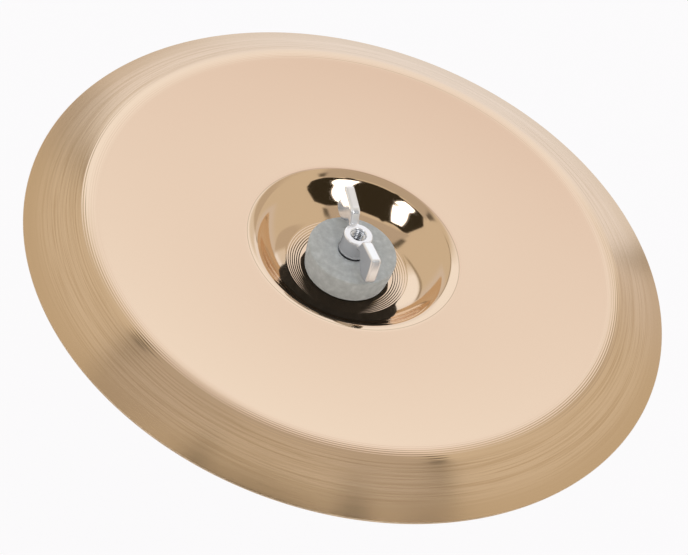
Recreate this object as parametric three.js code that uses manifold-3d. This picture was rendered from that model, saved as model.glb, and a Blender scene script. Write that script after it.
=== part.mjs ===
// China cymbal, hollow side up, clamped between two felts on the threaded post of a stand.
// Units are millimetres, +Z is up along the post, and the origin is the middle of the post's lower face.
import * as THREE from 'three';
import { mergeVertices } from 'three/addons/utils/BufferGeometryUtils.js';
import Module from 'manifold-3d';

const wasm = await Module();
wasm.setup();

// Cymbal: a sheet-bronze disc with a bell, a dished bow, and a flange turned back at a tight crease
const cymbalRadius = 177.8;
const bronzeThickness = 1.0;
const mountingHoleRadius = 6.35;
const bellRimRadius = 61;
const bellDepth = 19.5;
const bellFloorReach = 30;
const bellWallReach = 14;
const bellLipRadius = 14;
const bellWallAngle = THREE.MathUtils.degToRad(49);
const bowRise = 6.2;
const creaseRadius = 147.5;
const creaseHalfWidth = 3;
const flangeAngle = THREE.MathUtils.degToRad(25.7);

// Turned grooves round the felt, cut into the floor of the bell
const grooveCount = 7;
const groovePitch = 1.25;
const grooveDepth = 0.22;
const firstGrooveRadius = 25.5;

// Thread of the post, drawn as a plain shank at its pitch diameter, and the clearance round it
const shankRadius = 3.6;
const runningGap = 0.3;
const seatGap = 0.1;

// Hexagon parts of the post
const hexAcrossFlats = 13;
const hexChamfer = 0.7;
const couplingLength = 24;
const socketDepth = 12;
const jamNutThickness = 4;

// Clearance hole of both washers
const washerHoleRadius = 4.2;

// Cup washer and sleeve
const cupRadius = 21;
const cupThickness = 1.5;
const cupRimHeight = 4;
const cupRimFlare = 2.5;
const sleeveWall = 1.5;
const sleeveFlangeRadius = 10;
const sleeveFlangeThickness = 1.5;
const sleeveTopSetback = 3;

// Felts
const lowerFeltInset = 0.5;
const lowerFeltThickness = 9;
const upperFeltRadius = 24.6;
const upperFeltFootRadius = 23.2;
const upperFeltThickness = 16.4;
const feltEdgeRadius = 1;
const feltSideBulge = 0.3;
const nutDimpleDepth = 1;
const nutDimpleMargin = 0.6;

// Plain washer and wing nut
const plainWasherThickness = 1.6;
const hubRadius = 7.8;
const hubHeight = 11.6;
const hubTopChamfer = 0.7;
const hubBaseFlare = 0.4;
const countersinkRadius = 4.5;
const countersinkDepth = 0.7;
const postEndBelowHubTop = 7;
const wingHalfSpan = 28.8;
const wingTopReach = 27.8;
const wingThickness = 5.4;
const wingEdgeRadius = 1.1;
const wingTipRise = 9.3;
const wingShoulderReach = 12;
const wingShoulderRise = 7.1;
const wingTipSwellRise = 3;
const wingTipDrop = 4;
const wingHeelReach = 18;
const wingBellyReach = 22.4;
const wingBellyDrop = 8.8;
const wingNotchReach = 11.8;
const wingNotchDrop = 1.5;
const wingNeckDrop = 4.4;
const wingTopCorner = 1.6;

// How round things are faceted
const cymbalSteps = 60;
const feltSteps = 40;
const steelSteps = 32;

// Heights of the stack, each one on top of what carries it
const couplingTop = couplingLength;
const jamNutTop = couplingTop + jamNutThickness;
const cupFloor = jamNutTop + cupThickness;
const sleeveFlangeTop = cupFloor + sleeveFlangeThickness;
const bellBack = sleeveFlangeTop + lowerFeltThickness + runningGap;
const bellFloor = bellBack + bronzeThickness;
const bellRim = bellFloor + bellDepth;
const upperFeltTop = bellFloor + runningGap + upperFeltThickness;
const plainWasherBase = upperFeltTop - nutDimpleDepth + seatGap;
const hubBase = plainWasherBase + plainWasherThickness + seatGap;
const hubTop = hubBase + hubHeight;
const postTop = hubTop - postEndBelowHubTop;
const boreRadius = shankRadius + runningGap;
const sleeveRadius = boreRadius + sleeveWall;
const feltBoreRadius = sleeveRadius + runningGap;
const cupBendRadius = cupRadius - cupRimFlare;
const lowerFeltRadius = cupBendRadius - lowerFeltInset;
const sleeveTop = plainWasherBase - sleeveTopSetback;

const bronze = new THREE.MeshStandardMaterial({ color: 0xe3c49d, roughness: 0.12, metalness: 1 });
const castChrome = new THREE.MeshStandardMaterial({ color: 0xe6e6e8, roughness: 0.15, metalness: 1 });
const platedSteel = new THREE.MeshStandardMaterial({ color: 0xb9bbbd, roughness: 0.3, metalness: 1 });
const greyFelt = new THREE.MeshStandardMaterial({ color: 0xa0a3a0, roughness: 0.95, metalness: 0 });
const blackNylon = new THREE.MeshStandardMaterial({ color: 0x222222, roughness: 0.5, metalness: 0 });

// A [radius, height] outline, listed anticlockwise, closed and turned about the post's axis
function turned(outline, steps) {
  const points = [...outline, outline[0]].map(([radius, height]) => new THREE.Vector2(radius, height));
  return new THREE.LatheGeometry(points, steps).rotateX(Math.PI / 2);
}

function toManifold(geometry) {
  const bare = geometry.clone();
  bare.deleteAttribute('normal');
  bare.deleteAttribute('uv');
  const merged = mergeVertices(bare.index ? bare.toNonIndexed() : bare);
  const mesh = new wasm.Mesh({
    numProp: 3,
    vertProperties: merged.attributes.position.array,
    triVerts: new Uint32Array(merged.index.array),
  });
  return new wasm.Manifold(mesh);
}

function toGeometry(solid) {
  const mesh = solid.getMesh();
  const geometry = new THREE.BufferGeometry();
  geometry.setAttribute('position', new THREE.BufferAttribute(new Float32Array(mesh.vertProperties), 3));
  geometry.setIndex(new THREE.BufferAttribute(new Uint32Array(mesh.triVerts), 1));
  geometry.computeVertexNormals();
  return geometry;
}

// The bell from its middle to where the lip begins: flat in the middle, steep at the wall
const lipStart = new THREE.Vector2(
  bellRimRadius - bellLipRadius * Math.sin(bellWallAngle),
  bellRim - bellLipRadius * (1 - Math.cos(bellWallAngle)),
);
const bellCurve = new THREE.CubicBezierCurve(
  new THREE.Vector2(0, bellFloor),
  new THREE.Vector2(bellFloorReach, bellFloor),
  new THREE.Vector2(
    lipStart.x - bellWallReach * Math.cos(bellWallAngle),
    lipStart.y - bellWallReach * Math.sin(bellWallAngle),
  ),
  lipStart,
);

// A station on the hollow side: radius, height and slope in radians
function bellStation(radius) {
  let low = 0;
  let high = 1;
  for (let pass = 0; pass < 30; pass += 1) {
    const middle = (low + high) / 2;
    if (bellCurve.getPoint(middle).x < radius) low = middle;
    else high = middle;
  }
  const tangent = bellCurve.getTangent(low);
  return { radius, height: bellCurve.getPoint(low).y, slope: Math.atan2(tangent.y, tangent.x) };
}

function lipStation(slope) {
  return {
    radius: bellRimRadius - bellLipRadius * Math.sin(slope),
    height: bellRim - bellLipRadius * (1 - Math.cos(slope)),
    slope,
  };
}

// Beyond the lip the bow is a parabola, the crease bends it over, and the flange is a cone
const creaseStart = creaseRadius - creaseHalfWidth;
const creaseEnd = creaseRadius + creaseHalfWidth;
const bowEndGrade = (2 * bowRise) / (creaseStart - bellRimRadius);
const flangeGrade = -Math.tan(flangeAngle);
const creaseEndHeight = bellRim + bowRise + creaseHalfWidth * (bowEndGrade + flangeGrade);

function bowStation(radius) {
  const share = (radius - bellRimRadius) / (creaseStart - bellRimRadius);
  return { radius, height: bellRim + bowRise * share ** 2, slope: Math.atan(bowEndGrade * share) };
}

function creaseStation(radius) {
  const run = radius - creaseStart;
  const bend = (flangeGrade - bowEndGrade) / (creaseEnd - creaseStart);
  return {
    radius,
    height: bellRim + bowRise + bowEndGrade * run + (bend * run ** 2) / 2,
    slope: Math.atan(bowEndGrade + bend * run),
  };
}

function flangeStation(radius) {
  return { radius, height: creaseEndHeight + flangeGrade * (radius - creaseEnd), slope: -flangeAngle };
}

// Evenly spaced stations of one stretch, its last end left to the stretch that follows
function stretch(from, to, count, station) {
  const stations = [];
  for (let index = 0; index < count; index += 1) stations.push(station(from + ((to - from) * index) / count));
  return stations;
}

const lastGrooveRadius = firstGrooveRadius + grooveCount * groovePitch;
const lipCurl = stretch(bellWallAngle, 0, 5, lipStation);
const beyondBell = [
  ...lipCurl,
  ...stretch(bellRimRadius, creaseStart, 6, bowStation),
  ...stretch(creaseStart, creaseEnd, 6, creaseStation),
  flangeStation(creaseEnd),
];

// Outline of the sheet: the hollow side with its grooves, the rounded edge, and the back at one thickness
function cymbalGeometry() {
  const bellWall = stretch(lastGrooveRadius, lipStart.x, 7, bellStation);
  const floor = stretch(mountingHoleRadius, firstGrooveRadius, 3, bellStation);
  const grooves = [];
  for (let index = 0; index < grooveCount; index += 1) {
    const shoulder = bellStation(firstGrooveRadius + index * groovePitch);
    const valley = bellStation(firstGrooveRadius + (index + 0.5) * groovePitch);
    valley.height -= grooveDepth;
    grooves.push(shoulder, valley);
  }
  const hollow = [...floor, ...grooves, ...bellWall, ...beyondBell].map((s) => [s.radius, s.height]);

  const plainFloor = stretch(mountingHoleRadius, lastGrooveRadius, 6, bellStation);
  const back = [...plainFloor, ...bellWall, ...beyondBell].map((s) => [
    s.radius + bronzeThickness * Math.sin(s.slope),
    s.height - bronzeThickness * Math.cos(s.slope),
  ]);
  back[0][0] = mountingHoleRadius;

  // The edge is a half round of the sheet's thickness
  const edgeRadius = bronzeThickness / 2;
  const edgeMiddle = flangeStation(cymbalRadius - edgeRadius);
  const edge = [];
  for (let index = 0; index <= 4; index += 1) {
    const turn = -flangeAngle - Math.PI / 2 + (Math.PI * index) / 4;
    const middleHeight = edgeMiddle.height - edgeRadius * Math.cos(flangeAngle);
    edge.push([edgeMiddle.radius + edgeRadius * Math.cos(turn), middleHeight + edgeRadius * Math.sin(turn)]);
  }
  return turned([...back, ...edge, ...hollow.reverse()], cymbalSteps);
}

// A felt with rounded edges, its side slightly bulged, between a lower and an upper face listed outwards
function feltOutline(footRadius, topRadius, lowerFace, upperFace) {
  const low = lowerFace[lowerFace.length - 1][1];
  const high = upperFace[upperFace.length - 1][1];
  const side = [
    [footRadius, low + feltEdgeRadius],
    [(footRadius + topRadius) / 2 + feltSideBulge, (low + high) / 2],
    [topRadius, high - feltEdgeRadius],
  ];
  return [...lowerFace, ...side, ...upperFace.slice().reverse()];
}

// The lower felt stands in the cup over the sleeve's flange, and its top is pressed to the back of the bell
function lowerFeltGeometry() {
  const flangeRecess = sleeveFlangeRadius + runningGap;
  const flatRadius = lowerFeltRadius - feltEdgeRadius;
  const lowerFace = [
    [feltBoreRadius, sleeveFlangeTop + seatGap],
    [flangeRecess, sleeveFlangeTop + seatGap],
    [flangeRecess, cupFloor + seatGap],
    [flatRadius, cupFloor + seatGap],
  ];
  const upperFace = stretch(feltBoreRadius, flatRadius, 3, bellStation).map((s) => [
    s.radius,
    s.height - bronzeThickness - runningGap,
  ]);
  const rim = bellStation(flatRadius);
  upperFace.push([rim.radius, rim.height - bronzeThickness - runningGap]);
  return turned(feltOutline(lowerFeltRadius, lowerFeltRadius, lowerFace, upperFace), feltSteps);
}

// The upper felt widens a little upwards, is pressed into the floor of the bell and is dimpled by the nut
function upperFeltGeometry() {
  const footFlat = upperFeltFootRadius - feltEdgeRadius;
  const topFlat = upperFeltRadius - feltEdgeRadius;
  const dimpleRadius = hubRadius + hubBaseFlare + nutDimpleMargin;
  const floor = [...stretch(feltBoreRadius, footFlat, 4, bellStation), bellStation(footFlat)];
  const lowerFace = floor.map((s) => [s.radius, s.height + runningGap]);
  const upperFace = [
    [feltBoreRadius, upperFeltTop - nutDimpleDepth],
    [dimpleRadius, upperFeltTop - nutDimpleDepth],
    [dimpleRadius + nutDimpleDepth, upperFeltTop],
    [topFlat, upperFeltTop],
  ];
  return turned(feltOutline(upperFeltFootRadius, upperFeltRadius, lowerFace, upperFace), feltSteps);
}

// Nylon sleeve: a tube that keeps the thread off the bronze, on a flange that sits in the cup
function sleeveGeometry() {
  return turned(
    [
      [boreRadius, cupFloor],
      [sleeveFlangeRadius, cupFloor],
      [sleeveFlangeRadius, sleeveFlangeTop],
      [sleeveRadius, sleeveFlangeTop],
      [sleeveRadius, sleeveTop],
      [boreRadius, sleeveTop],
    ],
    steelSteps,
  );
}

// Cup washer: a flat pressed floor with a rim that flares up round the lower felt
function cupWasherGeometry() {
  const rimTop = cupFloor + cupRimHeight;
  return turned(
    [
      [washerHoleRadius, jamNutTop],
      [cupBendRadius, jamNutTop],
      [cupBendRadius + cupThickness / 2, jamNutTop + cupThickness / 2],
      [cupRadius, rimTop - cupThickness / 2],
      [cupRadius - cupThickness / 2, rimTop],
      [cupRadius - cupThickness, rimTop - cupThickness / 2],
      [cupBendRadius - cupThickness / 2, cupFloor],
      [washerHoleRadius, cupFloor],
    ],
    steelSteps,
  );
}

// Hexagon bar between two heights with its corners chamfered at both ends
function hexBar(bottom, top) {
  const cornerRadius = hexAcrossFlats / 2 / Math.cos(Math.PI / 6);
  const bar = new THREE.CylinderGeometry(cornerRadius, cornerRadius, top - bottom, 6);
  bar.rotateX(Math.PI / 2).translate(0, 0, (top + bottom) / 2);
  const faceRadius = cornerRadius - hexChamfer * Math.sqrt(3);
  const envelope = turned(
    [
      [0, bottom],
      [faceRadius, bottom],
      [cornerRadius, bottom + hexChamfer],
      [cornerRadius, top - hexChamfer],
      [faceRadius, top],
      [0, top],
    ],
    steelSteps,
  );
  return toManifold(bar).intersect(toManifold(envelope));
}

function rod(radius, bottom, top) {
  const shank = new THREE.CylinderGeometry(radius, radius, top - bottom, steelSteps);
  return shank.rotateX(Math.PI / 2).translate(0, 0, (top + bottom) / 2);
}

// A bored hexagon: the bore runs past both faces
function boredHex(bottom, top) {
  const overrun = top - bottom;
  const bore = toManifold(rod(boreRadius, bottom - overrun, top + overrun));
  return toGeometry(hexBar(bottom, top).subtract(bore));
}

function plainWasherGeometry() {
  const top = plainWasherBase + plainWasherThickness;
  return turned(
    [
      [washerHoleRadius, plainWasherBase],
      [hubRadius, plainWasherBase],
      [hubRadius, top],
      [washerHoleRadius, top],
    ],
    steelSteps,
  );
}

// One wing as a plate on edge: a neck leaves the top of the hub and climbs to a shoulder, the top edge runs
// out to the tip, and the underside rounds back through belly and heel to a notch beneath the neck
function wingGeometry() {
  const inset = wingEdgeRadius;
  const root = (boreRadius + hubRadius) / 2;
  const tip = wingHalfSpan - inset;
  const topReach = wingTopReach - inset;
  const topEdge = hubTop + wingTipRise - inset;
  const shoulderRise = wingShoulderRise - inset;
  const side = new THREE.Shape();
  const belly = hubTop - wingBellyDrop + inset;
  side.moveTo(root, hubTop - wingNeckDrop + inset);
  side.lineTo(wingNotchReach, hubTop - wingNotchDrop + inset);
  side.quadraticCurveTo(wingHeelReach, belly, wingBellyReach, belly);
  side.quadraticCurveTo(tip, belly, tip, hubTop - wingTipDrop);
  side.quadraticCurveTo(tip, hubTop + wingTipSwellRise, topReach, topEdge - wingTopCorner);
  side.quadraticCurveTo(topReach, topEdge, topReach - wingTopCorner, topEdge);
  side.lineTo(wingShoulderReach + wingTopCorner, hubTop + shoulderRise);
  const shoulderEnd = wingShoulderReach - wingTopCorner;
  side.quadraticCurveTo(
    wingShoulderReach,
    hubTop + shoulderRise,
    shoulderEnd,
    hubTop + shoulderRise - wingTopCorner,
  );
  side.lineTo(hubRadius, hubTop - inset);
  side.lineTo(root, hubTop - inset);
  const plate = new THREE.ExtrudeGeometry(side, {
    depth: wingThickness - 2 * inset,
    bevelEnabled: true,
    bevelThickness: inset,
    bevelSize: inset,
    bevelSegments: 2,
    curveSegments: 4,
    steps: 1,
  });
  return plate.translate(0, 0, inset - wingThickness / 2).rotateX(Math.PI / 2);
}

function wingNutGeometry() {
  const hub = turned(
    [
      [0, hubBase],
      [hubRadius, hubBase],
      [hubRadius + hubBaseFlare, hubBase + hubBaseFlare],
      [hubRadius, hubTop - hubTopChamfer],
      [hubRadius - hubTopChamfer, hubTop],
      [0, hubTop],
    ],
    steelSteps,
  );
  const overrun = countersinkDepth;
  const bore = toManifold(rod(boreRadius, hubBase - overrun, hubTop + overrun));
  const countersink = turned(
    [
      [0, hubTop - countersinkDepth],
      [boreRadius, hubTop - countersinkDepth],
      [countersinkRadius, hubTop],
      [countersinkRadius, hubTop + overrun],
      [0, hubTop + overrun],
    ],
    steelSteps,
  );
  const wing = toManifold(wingGeometry());
  const oppositeWing = toManifold(wingGeometry().rotateZ(Math.PI));
  const casting = toManifold(hub).add(wing).add(oppositeWing);
  return toGeometry(casting.subtract(bore).subtract(toManifold(countersink)));
}

const assembly = new THREE.Group();

function addPart(name, geometry, material) {
  const mesh = new THREE.Mesh(geometry, material);
  mesh.name = name;
  assembly.add(mesh);
}

addPart('coupling_nut', boredHex(0, couplingTop), platedSteel);
addPart('threaded_stud', rod(shankRadius, socketDepth, postTop), platedSteel);
addPart('jam_nut', boredHex(couplingTop, jamNutTop), platedSteel);
addPart('cup_washer', cupWasherGeometry(), platedSteel);
addPart('rod_sleeve', sleeveGeometry(), blackNylon);
addPart('lower_felt', lowerFeltGeometry(), greyFelt);
addPart('cymbal', cymbalGeometry(), bronze);
addPart('upper_felt', upperFeltGeometry(), greyFelt);
addPart('plain_washer', plainWasherGeometry(), platedSteel);
addPart('wing_nut', wingNutGeometry(), castChrome);

export default assembly;
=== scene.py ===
import math

import bmesh
import bpy
from mathutils import Matrix, Vector, noise


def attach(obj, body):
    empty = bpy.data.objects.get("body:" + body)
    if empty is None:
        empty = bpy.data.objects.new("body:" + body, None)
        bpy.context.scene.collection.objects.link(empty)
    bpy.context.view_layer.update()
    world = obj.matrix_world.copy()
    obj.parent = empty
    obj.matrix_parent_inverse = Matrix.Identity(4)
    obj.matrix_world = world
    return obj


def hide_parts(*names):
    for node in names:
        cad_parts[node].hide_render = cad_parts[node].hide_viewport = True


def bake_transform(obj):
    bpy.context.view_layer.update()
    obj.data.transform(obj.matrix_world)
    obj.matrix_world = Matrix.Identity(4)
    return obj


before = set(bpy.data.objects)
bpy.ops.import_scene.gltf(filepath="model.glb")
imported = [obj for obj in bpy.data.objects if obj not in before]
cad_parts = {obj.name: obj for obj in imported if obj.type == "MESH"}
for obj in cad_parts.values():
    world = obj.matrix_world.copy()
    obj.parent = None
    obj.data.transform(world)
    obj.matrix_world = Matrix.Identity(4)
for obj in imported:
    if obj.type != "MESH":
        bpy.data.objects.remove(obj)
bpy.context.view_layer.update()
print("frame loaded")

mm = 0.001  # the pieces' own sizes are in mm, and heights run up the post from the part's foot


# camera: 45 degrees off the post's axis, rolled as the photograph is

camera = {
    "place": (0.8001, -0.4705, 0.9606),  # m
    "aim": (0.02174, -0.01202, 0.0608),
    "roll": 20.43,
    "lens": 125.6,
    "nearest": 0.05,
    "farthest": 50,
}


def makeCamera(spec):
    data = bpy.data.cameras.new("studio_camera")
    data.lens = spec["lens"]
    data.clip_start = spec["nearest"]
    data.clip_end = spec["farthest"]
    view = bpy.data.objects.new("studio_camera", data)
    bpy.context.scene.collection.objects.link(view)
    place = Vector(spec["place"])
    turned = (Vector(spec["aim"]) - place).to_track_quat("-Z", "Y").to_matrix().to_4x4()
    roll = Matrix.Rotation(math.radians(spec["roll"]), 4, "Z")
    view.matrix_world = Matrix.Translation(place) @ turned @ roll
    bpy.context.scene.camera = view


makeCamera(camera)
print("camera placed")


# node helpers

def linear(hexCode):
    parts = [int(hexCode[i:i + 2], 16) / 255 for i in (1, 3, 5)]
    light = [p / 12.92 if p <= 0.04045 else ((p + 0.055) / 1.055) ** 2.4 for p in parts]
    return (*light, 1.0)


# a node with its settings, its inputs linked or set, and its colour stops if it has any
def addNode(tree, kind, inputs=None, stops=(), **settings):
    node = tree.nodes.new(kind)
    for name, value in settings.items():
        setattr(node, name, value)
    for socket, value in (inputs or {}).items():
        value = value.socket if isinstance(value, Field) else value
        if isinstance(value, bpy.types.NodeSocket):
            tree.links.new(value, node.inputs[socket])
        else:
            node.inputs[socket].default_value = value
    if stops:
        elements = node.color_ramp.elements
        while len(elements) < len(stops):
            elements.new(0.5)
        for element, (place, colour) in zip(elements, stops):
            element.position = place
            element.color = linear(colour)
    return node


# a number that varies over a surface or by direction, so that its nodes read as a formula
class Field:
    def __init__(self, tree, socket):
        self.tree = tree
        self.socket = socket

    def worked(self, operation, *others):
        values = dict(enumerate((self, *others)))
        node = addNode(self.tree, "ShaderNodeMath", values, operation=operation)
        return Field(self.tree, node.outputs["Value"])

    def __add__(self, other):
        return self.worked("ADD", other)

    def __sub__(self, other):
        return self.worked("SUBTRACT", other)

    def __rsub__(self, other):
        return self.worked("MULTIPLY_ADD", -1.0, other)

    def __mul__(self, other):
        return self.worked("MULTIPLY", other)

    def __abs__(self):
        return self.worked("ABSOLUTE")

    __rmul__ = __mul__

    def atMost(self, other):
        return self.worked("MINIMUM", other)

    def atLeast(self, other):
        return self.worked("MAXIMUM", other)

    # low where the field is 0, high where it is 1
    def spans(self, low, high):
        return self.worked("MULTIPLY_ADD", high - low, low)

    # 0 before the start and 1 past the end
    def fades(self, start, end, interpolation="LINEAR"):
        node = addNode(self.tree, "ShaderNodeMapRange", {
            "Value": self, "From Min": start, "From Max": end,
        }, interpolation_type=interpolation)
        return Field(self.tree, node.outputs["Result"])

    def rises(self, edge, soft):
        return self.fades(edge - soft, edge + soft, "SMOOTHSTEP")

    def falls(self, edge, soft):
        return self.fades(edge + soft, edge - soft, "SMOOTHSTEP")


# colours laid over a base, each as far as its mask lets it
def painted(tree, base, *coats):
    for mask, colour in coats:
        base = addNode(tree, "ShaderNodeMix", {
            "Factor": mask, "A": base, "B": colour,
        }, data_type="RGBA").outputs["Result"]
    return base


def newMaterial(name):
    material = bpy.data.materials.new(name)
    material.use_nodes = True
    tree = material.node_tree
    tree.nodes.clear()
    shader = addNode(tree, "ShaderNodeBsdfPrincipled")
    addNode(tree, "ShaderNodeOutputMaterial", {"Surface": shader.outputs["BSDF"]})
    return material, tree, shader


# What the polished metal mirrors, in degrees: "along" runs from straight up to the far side, and
# "across" to the right. A pair of numbers is where an edge lies and how softly it fades.

# painted walls, cooler high up, with a dimmer stretch ahead of the near flange and a dark joint
# each side of it
walls = {
    "low": "#D5C8B2",
    "high": "#D8CEC3",
    "highFrom": (70, 10),
    "near": "#BDB1A0",
    "nearLeft": 32.1,
    "nearLeftLean": 0.77,
    "nearRight": 27.9,
    "nearRightLean": 0.73,
    "nearFade": 1.5,
    "nearFrom": (-8, 1.5),
    "nearTo": (30, 1.5),
    "joint": "#332D20",
    "jointStrength": 0.8,
    "leftJoint": {"width": (2.6, 1.4), "from": (3, 3), "to": (20, 6)},
    "rightJoint": {"width": (2.2, 1.2), "from": (0, 2), "to": (13, 6)},
}


def wallColour(tree, spec, across, along):
    fromLeft = across + (spec["nearLeft"] - spec["nearLeftLean"] * along)
    fromRight = spec["nearRight"] - spec["nearRightLean"] * along - across
    near = fromLeft.rises(0, spec["nearFade"]) * fromRight.rises(0, spec["nearFade"])
    near = near * along.rises(*spec["nearFrom"]) * along.falls(*spec["nearTo"])
    joints = []
    for distance, joint in ((fromLeft, spec["leftJoint"]), (fromRight, spec["rightJoint"])):
        width = abs(distance).falls(*joint["width"])
        joints.append(width * along.rises(*joint["from"]) * along.falls(*joint["to"]))
    return painted(
        tree, linear(spec["low"]),
        (along.rises(*spec["highFrom"]), linear(spec["high"])),
        (near, linear(spec["near"])),
        (joints[0].atLeast(joints[1]) * spec["jointStrength"], linear(spec["joint"])),
    )


# the big white panel that lights the bow, in a thin dull frame, with a dull return wall on its
# right; an edge that bows outwards has its reach, where it reaches furthest, and how it draws in
panel = {
    "white": "#FFFFFF",
    "leftEdge": (38.3, 55, 0.0125),
    "leftFade": (1.5, 2.5),
    "rightEdge": (27.5, 73, 0.012),
    "rightFade": (0.5, 1.5),
    "start": 29,
    "fullFrom": 42,
    "dimRight": 0.7,
    "dimRightFrom": (14, 4),
    "dimRightUpTo": (73, 4),
    "top": "#F3F1F1",
    "topFrom": (76, 8),
    "foot": "#EEE4E1",
    "footUpTo": 62,
    "footFullTo": 32,
    "footWidth": (8.5, 1.5),
    "footStart": (30.5, 1.0),
    "edging": "#8C7F68",
    "edgingStrength": 0.75,
    "leftEdging": {"width": (1.3, 1.0), "from": (24, 4), "to": (80, 4)},
    "rightEdging": {"width": (1.0, 0.8), "from": (80, 3), "to": (92, 3)},
    "returnWall": "#C4B6A2",
    "returnEdge": (37, 52, 0.0165),
    "returnFade": 1.2,
    "returnInnerFade": 1.5,
    "returnStart": (32, 7),
}


def bowed(along, reach, peak, rate):
    off = along - peak
    return reach - rate * (off * off)


def panelColour(tree, spec, across, along, walled):
    leftEdge = across + bowed(along, *spec["leftEdge"])
    rightEdge = bowed(along, *spec["rightEdge"]) - across
    returnEdge = bowed(along, *spec["returnEdge"]) - across
    dull = rightEdge.falls(0, spec["returnInnerFade"]) * returnEdge.rises(0, spec["returnFade"])
    dull = dull * along.rises(*spec["returnStart"])
    dimmed = along.rises(*spec["dimRightUpTo"]).spans(-spec["dimRight"], 0.0)
    strength = across.rises(*spec["dimRightFrom"]).worked("MULTIPLY_ADD", dimmed, 1.0)
    strength = along.fades(spec["start"], spec["fullFrom"]) * strength
    lit = strength * leftEdge.rises(*spec["leftFade"]) * rightEdge.rises(*spec["rightFade"])
    white = painted(tree, linear(spec["white"]), (along.rises(*spec["topFrom"]), linear(spec["top"])))
    edgings = []
    for distance, edging in ((leftEdge, spec["leftEdging"]), (rightEdge, spec["rightEdging"])):
        width = abs(distance).falls(*edging["width"])
        edgings.append(width * along.rises(*edging["from"]) * along.falls(*edging["to"]))
    edging = edgings[0].atLeast(edgings[1]) * spec["edgingStrength"]
    lower = along.fades(spec["footUpTo"], spec["footFullTo"])
    foot = abs(across).falls(*spec["footWidth"]) * along.rises(*spec["footStart"])
    return painted(
        tree, walled,
        (dull, linear(spec["returnWall"])),
        (lit, white),
        (edging, linear(spec["edging"])),
        (foot, painted(tree, white, (lower, linear(spec["foot"])))),
    )


# black drape on the camera's side, higher at both ends and in two folds
drape = {
    "black": "#332D20",
    "top": -13.5,
    "topFade": 1.0,
    "bottom": (-85, 4),
    "rightRise": 8.0,
    "rightRiseFrom": (24, 7),
    "leftRise": 4.5,
    "leftRiseFrom": (-27, 5),
    "folds": [
        {"rise": 4.5, "from": (12.5, 1.5), "to": (18, 1.5)},
        {"rise": 3.0, "from": (-14, 1.0), "to": (-10.5, 1.0)},
    ],
    "leftEnd": 57.5,
    "leftCorner": 27.0,
    "leftLean": 0.9,
    "rightEnd": 60.5,
    "rightCorner": 35.5,
    "rightLean": 1.3,
    "endFade": 1.0,
}


def drapeColour(tree, spec, across, along, lined):
    rises = across.rises(*spec["rightRiseFrom"]) * spec["rightRise"]
    rises = rises + across.falls(*spec["leftRiseFrom"]) * spec["leftRise"]
    for fold in spec["folds"]:
        rises = rises.atLeast(across.rises(*fold["from"]) * across.falls(*fold["to"]) * fold["rise"])
    under = rises + spec["top"] - along
    leftEnd = across + (spec["leftCorner"] - spec["leftLean"] * along).atMost(spec["leftEnd"])
    rightEnd = (spec["rightCorner"] - spec["rightLean"] * along).atMost(spec["rightEnd"]) - across
    hung = under.rises(0, spec["topFade"]) * along.rises(*spec["bottom"])
    hung = hung * leftEnd.rises(0, spec["endFade"]) * rightEnd.rises(0, spec["endFade"])
    return painted(tree, lined, (hung, linear(spec["black"])))


# a softbox each side of the camera: its sides start from their place at the reference height, then
# lean and curve as they go down
softboxes = {
    "strength": 3.0,
    "reference": -19.0,
    "bottom": -46,
    "fade": 0.5,
    "leftTop": -17.5,
    "leftInner": 20.4,
    "leftOuter": (31.0, 0.56, 0.013),
    "rightTop": -18.5,
    "rightInner": -2.5,
    "rightInnerLean": 0.42,
    "rightOuter": (27.0, 1.05, 0.026),
}


def softboxColour(tree, spec, across, along, draped):
    drop = spec["reference"] - along

    def outer(place, lean, curve):
        return drop * lean + place - curve * (drop * drop)

    sides = (
        (across + outer(*spec["leftOuter"]), -spec["leftInner"] - across, spec["leftTop"]),
        (outer(*spec["rightOuter"]) - across,
         across + (spec["rightInnerLean"] * along + spec["rightInner"]), spec["rightTop"]),
    )
    boxes = []
    for outside, inside, top in sides:
        box = outside.rises(0, spec["fade"]) * inside.rises(0, spec["fade"])
        boxes.append(box * along.falls(top, spec["fade"]) * along.rises(spec["bottom"], spec["fade"]))
    glow = addNode(tree, "ShaderNodeVectorMath", {
        0: (1.0, 1.0, 1.0), "Scale": spec["strength"],
    }, operation="SCALE")
    return painted(tree, draped, (boxes[0].atLeast(boxes[1]), glow.outputs["Vector"]))


# The felt is lit evenly and stays grey: light that comes to it off the bronze is plain and cool,
# and what the bronze mirrors of it is in the drape's shade.
studio = {
    "turn": -59.5,  # degrees from the part's axes to the camera's
    "background": "#FCFBFC",
    "fill": "#FFFFFF",
    "fillStrength": 1.03,
    "mirroredFill": 0.1,
    "offBronze": "#D4E7FF",
    "offBronzeStrength": 2.3,
}


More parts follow.
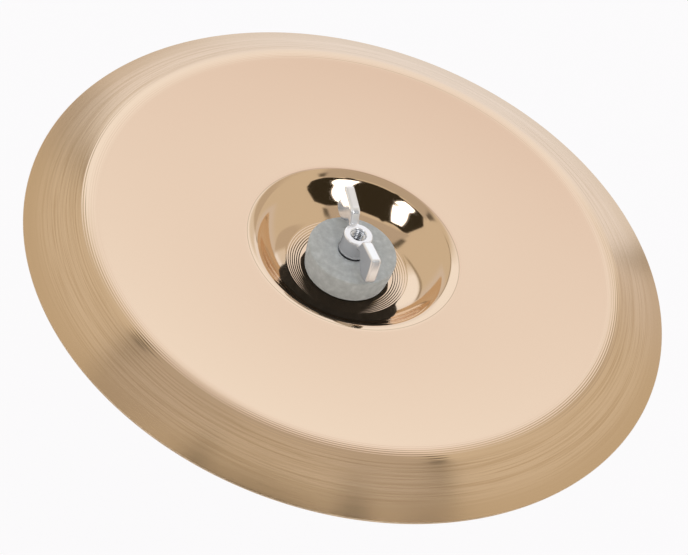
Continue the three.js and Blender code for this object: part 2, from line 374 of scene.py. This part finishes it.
def makeWorld(spec):
    world = bpy.data.worlds.new("studio_surroundings")
    bpy.context.scene.world = world
    world.use_nodes = True
    tree = world.node_tree
    tree.nodes.clear()
    direction = addNode(tree, "ShaderNodeTexCoord").outputs["Generated"]
    turned = addNode(tree, "ShaderNodeMapping", {
        "Vector": direction,
        "Rotation": (0, 0, math.radians(spec["turn"])),
    }).outputs["Vector"]
    parts = addNode(tree, "ShaderNodeSeparateXYZ", {"Vector": turned}).outputs
    along = Field(tree, parts["Y"]).worked("ARCTAN2", parts["Z"]).worked("DEGREES")
    across = Field(tree, parts["X"]).worked("ARCSINE").worked("DEGREES")
    colour = wallColour(tree, walls, across, along)
    colour = panelColour(tree, panel, across, along, colour)
    colour = drapeColour(tree, drape, across, along, colour)
    colour = softboxColour(tree, softboxes, across, along, colour)

    rays = addNode(tree, "ShaderNodeLightPath").outputs
    mirrors = Field(tree, rays["Glossy Depth"])
    offBronze = mirrors.fades(1, 2).spans(spec["offBronzeStrength"], spec["mirroredFill"])
    plain = addNode(tree, "ShaderNodeVectorMath", {
        0: linear(spec["offBronze"])[:3], "Scale": offBronze,
    }, operation="SCALE").outputs["Vector"]
    colour = painted(tree, colour, (Field(tree, rays["Diffuse Depth"]).atMost(1.0), plain))
    fill = mirrors.atMost(1.0).spans(spec["fillStrength"], spec["mirroredFill"])
    shiny = Field(tree, rays["Is Glossy Ray"]).atLeast(rays["Is Transmission Ray"])
    mirrored = addNode(tree, "ShaderNodeBackground", {"Color": colour, "Strength": 1.0})
    soft = addNode(tree, "ShaderNodeBackground", {"Color": linear(spec["fill"]), "Strength": fill})
    pale = addNode(tree, "ShaderNodeBackground", {"Color": linear(spec["background"]), "Strength": 1.0})
    surroundings = addNode(tree, "ShaderNodeMixShader", {
        0: shiny, 1: soft.outputs[0], 2: mirrored.outputs[0],
    })
    shown = addNode(tree, "ShaderNodeMixShader", {
        0: rays["Is Camera Ray"], 1: surroundings.outputs[0], 2: pale.outputs[0],
    })
    addNode(tree, "ShaderNodeOutputWorld", {"Surface": shown.outputs[0]})


makeWorld(studio)
print("studio lit")


# mesh helpers

touching = 1e-7  # m: points nearer to each other than this count as one


# touching points merged, faces turned outwards
def cleaned(bm):
    bmesh.ops.remove_doubles(bm, verts=bm.verts, dist=touching)
    bmesh.ops.recalc_face_normals(bm, faces=bm.faces)
    return bm


def toPiece(name, bm, sharpAngle=28):
    cleaned(bm)
    limit = math.radians(sharpAngle)
    for face in bm.faces:
        face.smooth = True
    for edge in bm.edges:
        edge.smooth = len(edge.link_faces) == 2 and edge.calc_face_angle(0) < limit
    mesh = bpy.data.meshes.new(name)
    bm.to_mesh(mesh)
    bm.free()
    piece = bpy.data.objects.new(name, mesh)
    bpy.context.scene.collection.objects.link(piece)
    return piece


# a closed outline of (radius, height) in mm, turned about the post
def spun(outline, steps):
    bm = bmesh.new()
    verts = [bm.verts.new((r * mm, 0, z * mm)) for r, z in outline]
    edges = [bm.edges.new(pair) for pair in zip(verts, verts[1:] + verts[:1])]
    bmesh.ops.spin(bm, geom=verts + edges, cent=(0, 0, 0), axis=(0, 0, 1),
                   angle=2 * math.pi, steps=steps, use_merge=True)
    return bm


def finishPiece(piece, material, body, nodes):
    piece.data.materials.append(material)
    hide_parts(*nodes)
    if body:
        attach(piece, body)


# cymbal: sheet bronze, spun and turned on a lathe, hollow side up

cymbal = {
    "floorHeight": 41.3,  # the hollow side's lowest plane
    "rimHeight": 60.8,  # the plane where the lip turns into the bow
    "thickness": 1.0,
    "holeRadius": 6.35,
    "rimRadius": 61,
    "floorReach": 30,
    "wallReach": 14,
    "lipRadius": 14,
    "wallAngle": 49,
    "bowRise": 6.0,
    "creaseStart": 139,
    "creaseEnd": 150,
    "creaseEase": 1.3,
    "flangeAngle": 24.3,
    "rimAngle": 26.3,
    "edgeRadius": 177.8,
    "edgeTurn": 0.1,
    "grooves": 7,
    "groovePitch": 1.25,
    "grooveDepth": 0.16,
    "firstGroove": 25.5,
    "steps": 288,
    "stepsAlong": {
        "floor": 8, "groove": 8, "grooveBack": 2, "wall": 22, "lip": 22,
        "bow": 20, "crease": 30, "flange": 16, "edge": 8,
    },
}


# height and slope of the bell's hollow side at a radius, on one curve from the middle to the lip
def bellPoint(spec, radius):
    angle = math.radians(spec["wallAngle"])
    endR = spec["rimRadius"] - spec["lipRadius"] * math.sin(angle)
    endZ = spec["rimHeight"] - spec["lipRadius"] * (1 - math.cos(angle))
    backR = endR - spec["wallReach"] * math.cos(angle)
    backZ = endZ - spec["wallReach"] * math.sin(angle)
    xs = (0, spec["floorReach"], backR, endR)
    zs = (spec["floorHeight"], spec["floorHeight"], backZ, endZ)

    def at(t, p):
        u = 1 - t
        return u ** 3 * p[0] + 3 * u * u * t * p[1] + 3 * u * t * t * p[2] + t ** 3 * p[3]

    def rate(t, p):
        u = 1 - t
        return u * u * (p[1] - p[0]) + 2 * u * t * (p[2] - p[1]) + t * t * (p[3] - p[2])

    low, high = 0.0, 1.0
    for halving in range(40):
        middle = (low + high) / 2
        if at(middle, xs) < radius:
            low = middle
        else:
            high = middle
    return at(low, zs), math.atan2(rate(low, zs), rate(low, xs))


def spread(low, high, count):
    return [low + (high - low) * i / count for i in range(count)]


# radius, height and slope along the hollow side, from the hole to the edge
def sheetStations(spec, grooved):
    rim, lip, top = spec["rimRadius"], spec["lipRadius"], spec["rimHeight"]
    wall = math.radians(spec["wallAngle"])
    lipStart = rim - lip * math.sin(wall)
    start, end, ease = spec["creaseStart"], spec["creaseEnd"], spec["creaseEase"]
    steps = spec["stepsAlong"]
    stations = []

    first = spec["firstGroove"]
    last = first + spec["grooves"] * spec["groovePitch"]
    for radius in spread(spec["holeRadius"], first, steps["floor"]):
        stations.append((radius, *bellPoint(spec, radius)))
    grooveSteps = steps["groove"] if grooved else steps["grooveBack"]
    for radius in spread(first, last, spec["grooves"] * grooveSteps):
        height, slope = bellPoint(spec, radius)
        if grooved:
            turn = 2 * math.pi * (radius - first) / spec["groovePitch"]
            height -= spec["grooveDepth"] * (1 - math.cos(turn)) / 2
        stations.append((radius, height, slope))
    for radius in spread(last, lipStart, steps["wall"]):
        stations.append((radius, *bellPoint(spec, radius)))
    for slope in spread(wall, 0, steps["lip"]):
        stations.append((rim - lip * math.sin(slope), top - lip * (1 - math.cos(slope)), slope))

    # the bow rises ever more steeply, and eases over the crease into the flange
    bowGrade = 2 * spec["bowRise"] / (start - rim)
    for radius in spread(rim, start, steps["bow"]):
        share = (radius - rim) / (start - rim)
        height = top + spec["bowRise"] * share ** 2
        stations.append((radius, height, math.atan(bowGrade * share)))
    flangeGrade = -math.tan(math.radians(spec["flangeAngle"]))
    bend = flangeGrade - bowGrade
    for radius in spread(start, end, steps["crease"]):
        share = (radius - start) / (end - start)
        rise = (end - start) * (bowGrade * share + bend * share ** (ease + 1) / (ease + 1))
        grade = bowGrade + bend * share ** ease
        stations.append((radius, top + spec["bowRise"] + rise, math.atan(grade)))
    endHeight = top + spec["bowRise"] + (end - start) * (bowGrade + bend / (ease + 1))
    edge = spec["edgeRadius"] - spec["thickness"] / 2
    steeper = (-math.tan(math.radians(spec["rimAngle"])) - flangeGrade) / (edge - end)
    for radius in spread(end, edge, steps["flange"]) + [edge - spec["edgeTurn"], edge]:
        run = radius - end
        height = endHeight + flangeGrade * run + steeper * run * run / 2
        stations.append((radius, height, math.atan(flangeGrade + steeper * run)))
    return stations


def makeCymbal(spec):
    thick = spec["thickness"]
    hollow = [(r, z) for r, z, slope in sheetStations(spec, True)]
    plain = sheetStations(spec, False)
    back = [(r + thick * math.sin(s), z - thick * math.cos(s)) for r, z, s in plain]
    back[0] = (spec["holeRadius"], back[0][1])
    endR, endZ, endSlope = plain[-1]
    middle = (endR + thick / 2 * math.sin(endSlope), endZ - thick / 2 * math.cos(endSlope))
    rounding = []
    count = spec["stepsAlong"]["edge"]
    for i in range(1, count):
        turn = endSlope - math.pi / 2 + math.pi * i / count
        rounding.append((middle[0] + thick / 2 * math.cos(turn), middle[1] + thick / 2 * math.sin(turn)))
    outline = back + rounding + hollow[::-1]
    return toPiece("polished_cymbal", spun(outline, spec["steps"]))


# B20 bell bronze, buffed to a mirror: pale warm gold, with the lathe's rings left at the crease and
# on the flange, and a fine line of painted shade round the lip's turn
bronze = {
    "colour": "#F0D9C1",
    "bowRoughness": 0.07,
    "flangeFrom": (150, 2.0),
    "flangeRoughness": 0.16,
    "rimColour": "#E2C9AC",
    "rimFrom": (169, 7),
    "edgeFrom": (177.2, 0.2),
    "edgeRoughness": 0.5,
    "linesPerMm": 1.5,  # a little coarser than the real tool marks, which are too fine to show
    "lineDrift": 8.0,  # how soon a line fades along its ring
    "lineColour": "#D3B898",
    "lineFrom": (0.54, 0.12),
    "lineStrength": 0.65,
    "bowFineness": 0.05,
    "flangeFineness": 0.14,
    "ringPitch": 1.2,
    "ringsFrom": (140.5, 0.8),
    "ringsTo": (149.4, 0.8),
    "ringStrength": 0.28,
    "bumpDepth": 0.1,
    # painted shade: a fine dark line round the lip's turn
    "lipShadeColour": "#8A7052",
    "lipShadeFrom": (58.7, 0.2),
    "lipShadeTo": (59.1, 0.2),
    "lipShadeStrength": 0.45,
}


def bronzeMaterial(spec):
    material, tree, shader = newMaterial("buffed_bell_bronze")
    place = addNode(tree, "ShaderNodeTexCoord").outputs["Object"]
    parts = addNode(tree, "ShaderNodeSeparateXYZ", {"Vector": place}).outputs
    flat = addNode(tree, "ShaderNodeCombineXYZ", {"X": parts["X"], "Y": parts["Y"]}).outputs["Vector"]
    metres = addNode(tree, "ShaderNodeVectorMath", {0: flat}, operation="LENGTH").outputs["Value"]
    radius = Field(tree, metres) * (1 / mm)
    tracks = addNode(tree, "ShaderNodeCombineXYZ", {
        "X": radius,
        "Y": Field(tree, parts["X"]) * spec["lineDrift"],
        "Z": Field(tree, parts["Y"]) * spec["lineDrift"],
    }).outputs["Vector"]
    fine = addNode(tree, "ShaderNodeTexNoise", {
        "Vector": tracks, "Scale": spec["linesPerMm"], "Detail": 3.0, "Roughness": 0.7,
    }).outputs["Fac"]
    onFlange = radius.rises(*spec["flangeFrom"])
    satin = onFlange.spans(spec["bowRoughness"], spec["flangeRoughness"])
    roughness = satin.atLeast(radius.rises(*spec["edgeFrom"]) * spec["edgeRoughness"])
    fineBump = addNode(tree, "ShaderNodeBump", {
        "Strength": onFlange.spans(spec["bowFineness"], spec["flangeFineness"]),
        "Distance": spec["bumpDepth"] * mm,
        "Height": fine,
    })
    atCrease = radius.rises(*spec["ringsFrom"]) * radius.falls(*spec["ringsTo"])
    ringBump = addNode(tree, "ShaderNodeBump", {
        "Strength": atCrease * spec["ringStrength"],
        "Distance": spec["bumpDepth"] * mm,
        "Height": (radius * (2 * math.pi / spec["ringPitch"])).worked("SINE"),
        "Normal": fineBump.outputs["Normal"],
    })
    lines = Field(tree, fine).rises(*spec["lineFrom"]) * (onFlange * spec["lineStrength"])
    # the lip's line is painted shade, laid over the bronze's colour
    lip = radius.rises(*spec["lipShadeFrom"]) * radius.falls(*spec["lipShadeTo"]) * spec["lipShadeStrength"]
    colour = painted(
        tree, linear(spec["colour"]),
        (lines, linear(spec["lineColour"])),
        (radius.rises(*spec["rimFrom"]), linear(spec["rimColour"])),
        (lip, linear(spec["lipShadeColour"])),
    )
    tree.links.new(colour, shader.inputs["Base Color"])
    shader.inputs["Metallic"].default_value = 1.0
    tree.links.new(roughness.socket, shader.inputs["Roughness"])
    tree.links.new(ringBump.outputs["Normal"], shader.inputs["Normal"])
    return material


cymbalPiece = makeCymbal(cymbal)
finishPiece(cymbalPiece, bronzeMaterial(bronze), "cymbal", ["cymbal"])
print("cymbal made")


# felts: dense grey wool felt, die-cut discs pressed against the bell

felts = {
    "bore": 5.7,
    "footRadius": 23.2,
    "topRadius": 24.6,
    "sideBulge": 0.3,
    "upperTop": 58.0,
    "footRounding": 0.4,
    "topRounding": 0.9,
    "topMargin": 2,  # between a corner's rounding and the evenly spaced points of the flat
    "dimpleRadius": 8.0,
    "dimpleDepth": 0.9,
    "dimpleShoulder": 0.8,  # the felt's top sinks over this width
    "dimpleTurn": (0.3, 0.05),
    "dimpleLip": 0.3,
    "dimpleUndercut": 0.1,
    "lowerRadius": 18.0,
    "lowerBottom": 29.65,
    "lowerRounding": 1.0,
    "sideMargin": 2,
    "baseMargins": (1, 1.5),
    "crownInset": 0.6,
    "recessRadius": 10.3,
    "recessTop": 31.15,
    "clearance": 0.3,
    "edgeClearance": 0.1,
    "fuzz": 0.09,
    "tuftsPerMetre": 600,
    "steps": 140,
    "upperBlend": (57.0, 45.5),
    "lowerBlend": (31.0, 38.5),
}


# points of a rounded corner, given the directions in which the outline comes to it and leaves it
def rounded(corner, arrive, leave, size, count=5):
    a = Vector(corner) - Vector(arrive).normalized() * size
    b = Vector(corner) + Vector(leave).normalized() * size
    c = Vector(corner)
    points = []
    for i in range(count + 1):
        t = i / count
        points.append(tuple(a * (1 - t) ** 2 + c * 2 * t * (1 - t) + b * t * t))
    return points


def evenly(start, end, count):
    return [tuple(Vector(start).lerp(Vector(end), i / count)) for i in range(count)]


def felted(name, outline, spec):
    bm = cleaned(spun(outline, spec["steps"]))
    bm.normal_update()
    for vert in bm.verts:
        wave = noise.fractal(vert.co * spec["tuftsPerMetre"], 1.0, 2.0, 3)
        vert.co += vert.normal * wave * spec["fuzz"] * mm
    return toPiece(name, bm, sharpAngle=60)


def makeUpperFelt(spec, sheet):
    foot, wide, top, bore = spec["footRadius"], spec["topRadius"], spec["upperTop"], spec["bore"]
    dimple, pressed = spec["dimpleRadius"], spec["upperTop"] - spec["dimpleDepth"]
    shoulder = spec["dimpleShoulder"]
    outline = []
    for r in spread(bore, foot - spec["footRounding"], 20) + [foot - spec["footRounding"]]:
        outline.append((r, bellPoint(sheet, r)[0] + spec["clearance"]))
    low = outline[-1][1]
    outline += rounded((foot, low), (1, 0), (0, 1), spec["footRounding"], 3)[1:]
    for share in spread(0, 1, 15)[1:]:
        r = foot + (wide - foot) * share + spec["sideBulge"] * math.sin(math.pi * share)
        outline.append((r, low + (top - low) * share))
    outline += rounded((wide, top), (0, 1), (-1, 0), spec["topRounding"])
    outline += evenly((wide - spec["topMargin"], top), (dimple + shoulder, top), 16)
    outline.append((dimple + spec["dimpleTurn"][0], top - spec["dimpleTurn"][1]))
    outline.append((dimple, top - spec["dimpleLip"]))
    outline.append((dimple - spec["dimpleUndercut"], pressed))
    outline += evenly((dimple - shoulder, pressed), (bore, pressed), 3)
    outline.append((bore, pressed))
    return felted("upper_felt_disc", outline, spec)


def makeLowerFelt(spec, sheet):
    radius, bore, base = spec["lowerRadius"], spec["bore"], spec["lowerBottom"]
    recess, ceiling, corner = spec["recessRadius"], spec["recessTop"], spec["lowerRounding"]
    inner, outer = spec["baseMargins"]
    margin = spec["sideMargin"]
    outline = [(bore, ceiling), (recess, ceiling), (recess, base)]
    outline += evenly((recess + inner, base), (radius - outer, base), 6)
    outline += rounded((radius, base), (1, 0), (0, 1), corner)
    high = bellPoint(sheet, radius)[0] - sheet["thickness"] - spec["clearance"] - spec["edgeClearance"]
    outline += evenly((radius, base + margin), (radius, high - margin), 8)
    outline += rounded((radius, high), (0, 1), (-1, 0), corner)
    crown = radius - corner - spec["crownInset"]
    for r in spread(crown, bore, 12) + [bore]:
        height, slope = bellPoint(sheet, r)
        outline.append((r, height - sheet["thickness"] / math.cos(slope) - spec["clearance"]))
    return felted("lower_felt_disc", outline, spec)


# pressed wool felt: mottled mid grey, wholly dull, with matted fibres about half a millimetre long
feltLook = {
    "blotch": 3.85,  # mm across
    "shades": [(0.30, "#9C9B96"), (0.52, "#A7A6A1"), (0.75, "#B9B8B3")],
    "fibre": 0.556,
    "fibreDepth": 0.3,
    "fibreStrength": 0.35,
    "roughness": 0.95,
    "sheen": 0.15,
}


def feltMaterial(spec):
    material, tree, shader = newMaterial("pressed_grey_felt")
    place = addNode(tree, "ShaderNodeTexCoord").outputs["Object"]
    blotch = addNode(tree, "ShaderNodeTexNoise", {
        "Vector": place, "Scale": 1 / (spec["blotch"] * mm), "Detail": 6.0, "Roughness": 0.62,
    })
    colour = addNode(tree, "ShaderNodeValToRGB", {"Fac": blotch.outputs["Fac"]}, spec["shades"])
    fibres = addNode(tree, "ShaderNodeTexNoise", {
        "Vector": place, "Scale": 1 / (spec["fibre"] * mm), "Detail": 4.0,
    })
    bump = addNode(tree, "ShaderNodeBump", {
        "Strength": spec["fibreStrength"],
        "Distance": spec["fibreDepth"] * mm,
        "Height": fibres.outputs["Fac"],
    })
    tree.links.new(colour.outputs["Color"], shader.inputs["Base Color"])
    tree.links.new(bump.outputs["Normal"], shader.inputs["Normal"])
    shader.inputs["Roughness"].default_value = spec["roughness"]
    shader.inputs["Sheen Weight"].default_value = spec["sheen"]
    return material


greyFelt = feltMaterial(feltLook)
for felt, node, blend in (
    (makeUpperFelt(felts, cymbal), "upper_felt", felts["upperBlend"]),
    (makeLowerFelt(felts, cymbal), "lower_felt", felts["lowerBlend"]),
):
    finishPiece(felt, greyFelt, None, [node])
    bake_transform(felt)
print("felts made")


# wing nut: plated die casting, tapped M8

wingNut = {
    "base": 58.8,
    "top": 70.4,
    "hubRadius": 8.0,
    "boreRadius": 4.2,
    "mouthRadius": 4.7,
    "mouthDepth": 0.6,
    "topRounding": 0.7,
    "flankTop": 2,
    "baseFlare": 0.3,
    "flareWidest": 0.5,
    "flareTop": 1.6,
    "wingThickness": 5.6,
    "wingRounding": 1.3,
    "sharpFrom": 75,  # degrees between the faces of an edge that gets rounded
    "halfSpan": 28.9,
    "topReach": 27.9,
    "tipRise": 9.4,
    "shoulderReach": 12,
    "shoulderRise": 7.2,
    "corner": 1.7,
    "tipSwell": 3,
    "tipDrop": 4,
    "heelReach": 18,
    "bellyReach": 22.4,
    "bellyDrop": 8.9,
    "notchReach": 11.7,
    "notchDrop": 1.6,
    "neckDrop": 4.5,
    "rootReach": 5.6,
    "pitch": 1.25,
    "crestRadius": 3.7,
    "ridgeOverlap": 0.15,
    "ridgeShort": 0.3,
    "ridgeHalfFoot": 0.42,  # of the pitch
    "ridgeHalfCrest": 0.07,
    "ridgeSteps": 48,
    "voxel": 0.22,
    "smoothings": 4,
    "steps": 96,
}


# points from a to b along a curve that a corner pulls, the last point left to what follows
def bent(a, corner, b, count=6):
    a, corner, b = Vector(a), Vector(corner), Vector(b)
    points = []
    for i in range(count):
        t = i / count
        points.append(tuple(a.lerp(corner, t).lerp(corner.lerp(b, t), t)))
    return points


# the wing's outline beside the hub: reach, and height above the hub's top
def wingSide(spec):
    span, rise, corner = spec["halfSpan"], spec["tipRise"], spec["corner"]
    reach, shoulder = spec["topReach"], (spec["shoulderReach"], spec["shoulderRise"])
    notch = (spec["notchReach"], -spec["notchDrop"])
    heel = (spec["heelReach"], -spec["bellyDrop"])
    belly = (spec["bellyReach"], -spec["bellyDrop"])
    side = (span, -spec["tipDrop"])
    tip = (reach, rise - corner)
    ridge = (shoulder[0] + corner, shoulder[1])
    slope = (shoulder[0] - corner, shoulder[1] - corner)
    outline = [(spec["rootReach"], -spec["neckDrop"])]
    outline += bent(notch, heel, belly, 8)
    outline += bent(belly, (span, -spec["bellyDrop"]), side, 8)
    outline += bent(side, (span, spec["tipSwell"]), tip)
    outline += bent(tip, (reach, rise), (reach - corner, rise))
    outline.append((reach - corner, rise))
    outline += bent(ridge, shoulder, slope)
    outline += [slope, (spec["hubRadius"], 0.0), (spec["rootReach"], 0.0)]
    return outline


def makeWing(spec):
    bm = bmesh.new()
    half = spec["wingThickness"] / 2 * mm
    verts = [bm.verts.new((r * mm, -half, (spec["top"] + h) * mm)) for r, h in wingSide(spec)]
    side = bm.faces.new(verts)
    pushed = bmesh.ops.extrude_face_region(bm, geom=[side])
    moved = [v for v in pushed["geom"] if isinstance(v, bmesh.types.BMVert)]
    bmesh.ops.translate(bm, verts=moved, vec=(0, 2 * half, 0))
    bmesh.ops.recalc_face_normals(bm, faces=bm.faces)
    rims = []
    for edge in bm.edges:
        level = abs(edge.verts[0].co.y - edge.verts[1].co.y) < touching
        if level and edge.calc_face_angle(0) > math.radians(spec["sharpFrom"]):
            rims.append(edge)
    bmesh.ops.bevel(bm, geom=rims, offset=spec["wingRounding"] * mm, segments=4, profile=0.5,
                    affect="EDGES", material=-1)
    return bm


# the ridge of a right-hand thread between two heights
def threadRidge(spec, low, high, root):
    bm = bmesh.new()
    pitch, crest, steps = spec["pitch"], spec["crestRadius"], spec["ridgeSteps"]
    foot, tip = spec["ridgeHalfFoot"] * pitch, spec["ridgeHalfCrest"] * pitch
    middle = low + pitch / 2
    profile = [(root, -foot), (crest, -tip), (crest, tip), (root, foot)]
    verts = [bm.verts.new((r * mm, 0, (middle + z) * mm)) for r, z in profile]
    face = bm.faces.new(verts)
    count = int(((high - low) / pitch - 1) * steps)
    bmesh.ops.spin(bm, geom=[face, *face.edges, *face.verts], cent=(0, 0, 0), axis=(0, 0, 1),
                   dvec=(0, 0, pitch * mm / steps), angle=count / steps * 2 * math.pi, steps=count)
    bmesh.ops.holes_fill(bm, edges=[e for e in bm.edges if e.is_boundary])
    bmesh.ops.recalc_face_normals(bm, faces=bm.faces)
    return bm


def joined(*parts):
    whole = bmesh.new()
    for part in parts:
        mesh = bpy.data.meshes.new("part")
        part.to_mesh(mesh)
        part.free()
        whole.from_mesh(mesh)
        bpy.data.meshes.remove(mesh)
    return whole


# the hub and both wings run into each other, as metal does in a mould
def fused(rough, voxel):
    remesh = rough.modifiers.new("fuse", "REMESH")
    remesh.mode = "VOXEL"
    remesh.voxel_size = voxel
    remesh.use_smooth_shade = True
    view = rough.evaluated_get(bpy.context.evaluated_depsgraph_get())
    bm = bmesh.new()
    bm.from_mesh(view.to_mesh())
    view.to_mesh_clear()
    bpy.data.objects.remove(rough)
    return bm


def makeWingNut(spec):
    base, top, hub, bore = spec["base"], spec["top"], spec["hubRadius"], spec["boreRadius"]
    outline = [
        (bore, base),
        (hub, base),
        (hub + spec["baseFlare"], base + spec["flareWidest"]),
        (hub, base + spec["flareTop"]),
        (hub, top - spec["flankTop"]),
    ]
    outline += rounded((hub, top), (0, 1), (-1, 0), spec["topRounding"], 6)
    outline += [(spec["mouthRadius"], top), (bore, top - spec["mouthDepth"])]
    right = makeWing(spec)
    left = makeWing(spec)
    halfTurn = Matrix.Rotation(math.pi, 3, "Z")
    bmesh.ops.rotate(left, verts=left.verts, cent=(0, 0, 0), matrix=halfTurn)
    rough = toPiece("wing_nut_casting", joined(spun(outline, spec["steps"]), right, left))
    bm = fused(rough, spec["voxel"] * mm)
    for smoothing in range(spec["smoothings"]):
        bmesh.ops.smooth_vert(bm, verts=bm.verts, factor=0.5,
                              use_axis_x=True, use_axis_y=True, use_axis_z=True)
    thread = threadRidge(spec, base, top - spec["ridgeShort"], bore + spec["ridgeOverlap"])
    return toPiece("plated_wing_nut", joined(bm, thread), sharpAngle=50)


# bright plate over a tumbled die casting: nearly white, soft edges, faint orange peel
castingLook = {
    "colour": "#F6F7FA",
    "metallic": 0.62,
    "peel": 2.0,
    "peelDepth": 0.1,
    "peelStrength": 0.12,
    "wear": 11.1,  # mm across, as the peel is
    "brightest": 0.12,
    "dullest": 0.24,
}


def castingMaterial(spec):
    material, tree, shader = newMaterial("plated_die_casting")
    place = addNode(tree, "ShaderNodeTexCoord").outputs["Object"]
    peel = addNode(tree, "ShaderNodeTexNoise", {
        "Vector": place, "Scale": 1 / (spec["peel"] * mm), "Detail": 2.0,
    })
    bump = addNode(tree, "ShaderNodeBump", {
        "Strength": spec["peelStrength"],
        "Distance": spec["peelDepth"] * mm,
        "Height": peel.outputs["Fac"],
    })
    wear = addNode(tree, "ShaderNodeTexNoise", {
        "Vector": place, "Scale": 1 / (spec["wear"] * mm), "Detail": 4.0,
    })
    dull = addNode(tree, "ShaderNodeMapRange", {
        "Value": wear.outputs["Fac"], "To Min": spec["brightest"], "To Max": spec["dullest"],
    })
    shader.inputs["Base Color"].default_value = linear(spec["colour"])
    shader.inputs["Metallic"].default_value = spec["metallic"]
    tree.links.new(dull.outputs["Result"], shader.inputs["Roughness"])
    tree.links.new(bump.outputs["Normal"], shader.inputs["Normal"])
    return material


wingNutPiece = makeWingNut(wingNut)
finishPiece(wingNutPiece, castingMaterial(castingLook), "nut", ["wing_nut"])
print("wing nut made")


# zinc-plated steel: bluish grey, satin, with the turning and rolling marks left on
steelLook = {
    "cloud": 4.55,  # mm across
    "shades": [(0.35, "#AEB1B4"), (0.7, "#C6C7C6")],
    "brightest": 0.22,
    "dullest": 0.42,
    "markDepth": 0.1,
    "markStrength": 0.08,
}


def steelMaterial(spec):
    material, tree, shader = newMaterial("zinc_plated_steel")
    place = addNode(tree, "ShaderNodeTexCoord").outputs["Object"]
    cloud = addNode(tree, "ShaderNodeTexNoise", {
        "Vector": place, "Scale": 1 / (spec["cloud"] * mm), "Detail": 5.0,
    }).outputs["Fac"]
    colour = addNode(tree, "ShaderNodeValToRGB", {"Fac": cloud}, spec["shades"])
    dull = addNode(tree, "ShaderNodeMapRange", {
        "Value": cloud, "To Min": spec["brightest"], "To Max": spec["dullest"],
    })
    bump = addNode(tree, "ShaderNodeBump", {
        "Strength": spec["markStrength"], "Distance": spec["markDepth"] * mm, "Height": cloud,
    })
    tree.links.new(colour.outputs["Color"], shader.inputs["Base Color"])
    shader.inputs["Metallic"].default_value = 1.0
    tree.links.new(dull.outputs["Result"], shader.inputs["Roughness"])
    tree.links.new(bump.outputs["Normal"], shader.inputs["Normal"])
    return material


# moulded black nylon: satin, slightly grainy
nylonLook = {
    "colour": "#222222",
    "roughness": 0.45,
    "grain": 0.4,
    "grainDepth": 0.1,
    "grainStrength": 0.2,
}


def nylonMaterial(spec):
    material, tree, shader = newMaterial("moulded_black_nylon")
    place = addNode(tree, "ShaderNodeTexCoord").outputs["Object"]
    grain = addNode(tree, "ShaderNodeTexNoise", {
        "Vector": place, "Scale": 1 / (spec["grain"] * mm), "Detail": 2.0,
    })
    bump = addNode(tree, "ShaderNodeBump", {
        "Strength": spec["grainStrength"],
        "Distance": spec["grainDepth"] * mm,
        "Height": grain.outputs["Fac"],
    })
    shader.inputs["Base Color"].default_value = linear(spec["colour"])
    shader.inputs["Roughness"].default_value = spec["roughness"]
    tree.links.new(bump.outputs["Normal"], shader.inputs["Normal"])
    return material


steel = steelMaterial(steelLook)
nylon = nylonMaterial(nylonLook)
for name, material in (
    ("coupling_nut", steel), ("threaded_stud", steel), ("jam_nut", steel), ("cup_washer", steel),
    ("plain_washer", steel), ("rod_sleeve", nylon),
):
    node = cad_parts[name]
    node.data.materials.clear()
    node.data.materials.append(material)
print("post dressed")


# stage: a pale floor well below the cymbal, seen from above only

floor = {
    "height": -0.35,
    "radius": 4.0,
    "colour": "#F4F3F4",
    "seenColour": "#FCFBFC",
    "seenShare": 0.92,  # the rest of what the eye gets is the lit floor, with the shadow on it
    "steps": 64,
}


def makeFloor(spec):
    bm = bmesh.new()
    bmesh.ops.create_circle(bm, cap_ends=True, radius=spec["radius"], segments=spec["steps"])
    bmesh.ops.translate(bm, verts=bm.verts, vec=(0, 0, spec["height"]))
    mesh = bpy.data.meshes.new("studio_floor")
    bm.to_mesh(mesh)
    bm.free()
    piece = bpy.data.objects.new("studio_floor", mesh)
    bpy.context.scene.collection.objects.link(piece)
    material = bpy.data.materials.new("pale_floor")
    material.use_nodes = True
    tree = material.node_tree
    tree.nodes.clear()
    rays = addNode(tree, "ShaderNodeLightPath").outputs
    under = addNode(tree, "ShaderNodeNewGeometry").outputs["Backfacing"]
    lit = addNode(tree, "ShaderNodeBsdfDiffuse", {"Color": linear(spec["colour"])})
    white = addNode(tree, "ShaderNodeEmission", {"Color": linear(spec["seenColour"]), "Strength": 1.0})
    seen = Field(tree, rays["Is Camera Ray"]).atLeast(rays["Is Glossy Ray"])
    seen = seen.atLeast(rays["Is Transmission Ray"]) * spec["seenShare"]
    top = addNode(tree, "ShaderNodeMixShader", {0: seen, 1: lit.outputs[0], 2: white.outputs[0]})
    clear = addNode(tree, "ShaderNodeBsdfTransparent")
    both = addNode(tree, "ShaderNodeMixShader", {0: under, 1: top.outputs[0], 2: clear.outputs[0]})
    addNode(tree, "ShaderNodeOutputMaterial", {"Surface": both.outputs[0]})
    mesh.materials.append(material)


makeFloor(floor)
bpy.context.scene.view_settings.view_transform = "Standard"
print("stage set")
